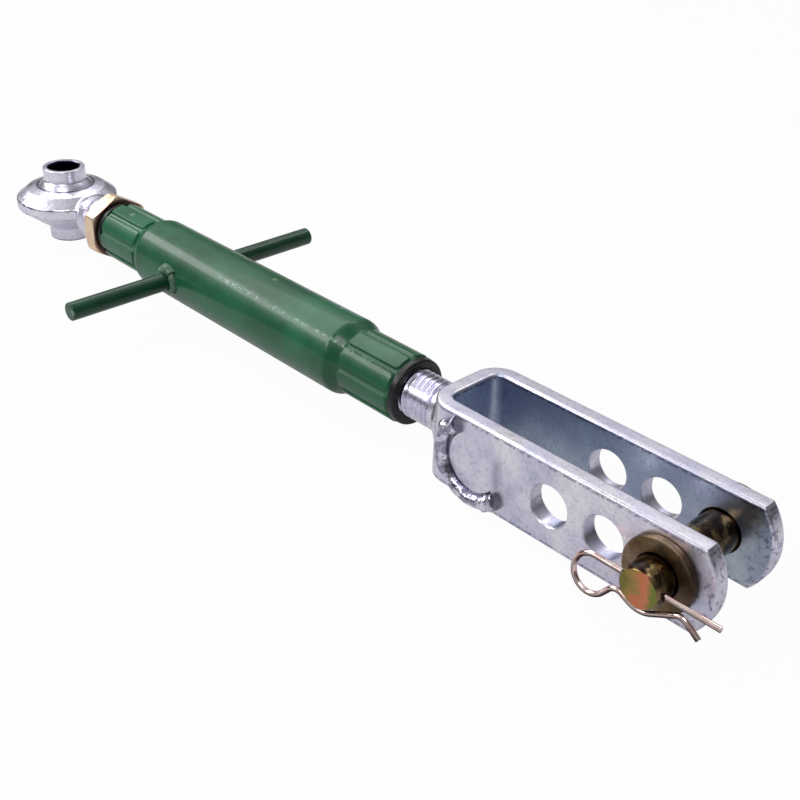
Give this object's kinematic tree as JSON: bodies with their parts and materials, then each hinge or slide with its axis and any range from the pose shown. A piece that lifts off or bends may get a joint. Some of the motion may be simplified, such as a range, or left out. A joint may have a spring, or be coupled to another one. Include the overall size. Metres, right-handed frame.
{
  "type": "three-point lift link",
  "caption": "Adjustable lift link: a ball end and a three-hole fork screwed into a threaded barrel with a cross handle, a locknut, a fork pin and a hairpin clip.",
  "frame": {"origin": "centre of the ball, on the axis of its hole", "axes": "+Z along the ball's hole, +X along the link towards the fork, +Y along the fork's pin towards its head"},
  "size_m": [0.5411, 0.161, 0.046],
  "materials": {
    "bright_zinc": "bright zinc plating, satin",
    "yellow_zinc": "yellow zinc plating",
    "dichromate": "olive and gold dichromate over zinc",
    "green_paint": "dark green gloss enamel",
    "black_steel": "oiled black oxide",
    "copper_wire": "coppery zinc on spring wire"
  },
  "bodies": {
    "fork_body": {"fork": "bright_zinc", "fork_stud": "bright_zinc", "stud_weld": "bright_zinc", "root_weld": "bright_zinc"},
    "fork_bush": {"fork_side_bush": "black_steel"},
    "barrel": {"barrel_tube": "green_paint", "handle_rod_near": "green_paint", "handle_rod_far": "green_paint", "handle_weld_near": "green_paint", "handle_weld_far": "green_paint"},
    "ball_bush": {"ball_side_bush": "black_steel"},
    "locknut": {"locknut": "yellow_zinc"},
    "eye": {"eye_end": "bright_zinc"},
    "ball": {"ball": "bright_zinc"},
    "pin": {"fork_pin": "dichromate"},
    "washer": {"washer": "dichromate"},
    "clip": {"hairpin_clip": "copper_wire"}
  },
  "joints": [
    {"name": "barrel_turn", "type": "hinge", "parent": "fork_bush", "child": "barrel", "pos_m": [0.3225, 0, 0], "axis": [-1, 0, 0], "range_deg": [0, 7200]},
    {"name": "fork_thread_travel", "type": "slide", "parent": "fork_body", "child": "fork_bush", "axis": [-1, 0, 0], "range_m": [0, 0.0601]},
    {"name": "ball_bush_turn", "type": "hinge", "parent": "barrel", "child": "ball_bush", "pos_m": [0.0635, 0, 0], "axis": [1, 0, 0], "range_deg": [0, 7200]},
    {"name": "eye_thread_travel", "type": "slide", "parent": "ball_bush", "child": "eye", "axis": [-1, 0, 0], "range_m": [0, 0.0601]},
    {"name": "locknut_turn", "type": "hinge", "parent": "ball_bush", "child": "locknut", "pos_m": [0.0577, 0, 0], "axis": [1, 0, 0], "continuous": true},
    {"name": "ball_tilt", "type": "hinge", "parent": "eye", "child": "ball", "pos_m": [0, 0, 0], "axis": [0, 1, 0], "range_deg": [-12, 12]},
    {"name": "pin_turn", "type": "hinge", "parent": "fork_body", "child": "pin", "pos_m": [0.4771, 0, 0], "axis": [0, 1, 0], "continuous": true},
    {"name": "washer_turn", "type": "hinge", "parent": "fork_body", "child": "washer", "pos_m": [0.4771, -0.025, 0], "axis": [0, 1, 0], "continuous": true},
    {"name": "clip_pull", "type": "slide", "parent": "pin", "child": "clip", "axis": [-1, 0, 0], "range_m": [0, 0.05], "deforming": ["hairpin_clip"]}
  ],
  "couplings": [
    {"joint": "fork_thread_travel", "follows": "barrel_turn", "m_per_rad": 0.00047746},
    {"joint": "ball_bush_turn", "follows": "barrel_turn", "ratio": 1},
    {"joint": "eye_thread_travel", "follows": "barrel_turn", "m_per_rad": 0.00047746}
  ]
}
